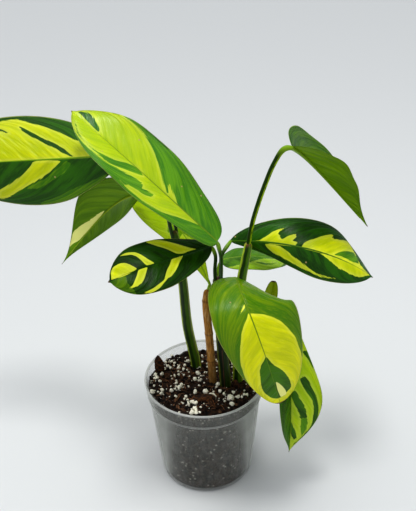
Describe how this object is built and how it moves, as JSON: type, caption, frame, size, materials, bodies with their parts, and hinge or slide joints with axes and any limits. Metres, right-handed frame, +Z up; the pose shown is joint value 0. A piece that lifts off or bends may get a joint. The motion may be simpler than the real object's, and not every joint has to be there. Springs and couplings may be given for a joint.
{
  "type": "potted ctenanthe lubbersiana",
  "caption": "Potted prayer plant: oval leaves streaked lime and dark green on long stalks, rising from dark mix with white grains in a tapered clear nursery pot.",
  "frame": {"origin": "middle of the pot's flat underside, where the pot stands", "axes": "+Z up; the main view looks along +Y from the front, with +X to its right"},
  "size_m": [0.3534, 0.1347, 0.3375],
  "materials": {
    "clear_plastic": "satin",
    "potting_mix": "matte",
    "dry_cane": "matte",
    "green_stem": "satin",
    "leaf_lime": "satin",
    "leaf_mid": "satin",
    "leaf_dark": "satin"
  },
  "bodies": {
    "root": {"pot": "clear_plastic", "soil": "potting_mix", "stem_left": "green_stem", "cane_dry": "dry_cane", "stem_middle": "green_stem", "stem_right": "green_stem", "leaf_high_left": "leaf_lime", "leaf_dark_left": "leaf_dark", "leaf_front": "leaf_mid", "leaf_low_right": "leaf_lime", "leaf_folded_right": "leaf_mid", "leaf_dark_right": "leaf_dark", "leaf_small_behind": "leaf_mid", "leaf_lime_behind": "leaf_lime", "leaf_hanging_left": "leaf_dark", "leaf_wide_left": "leaf_lime", "leaf_rolled_right": "leaf_lime"}
  },
  "joints": []
}
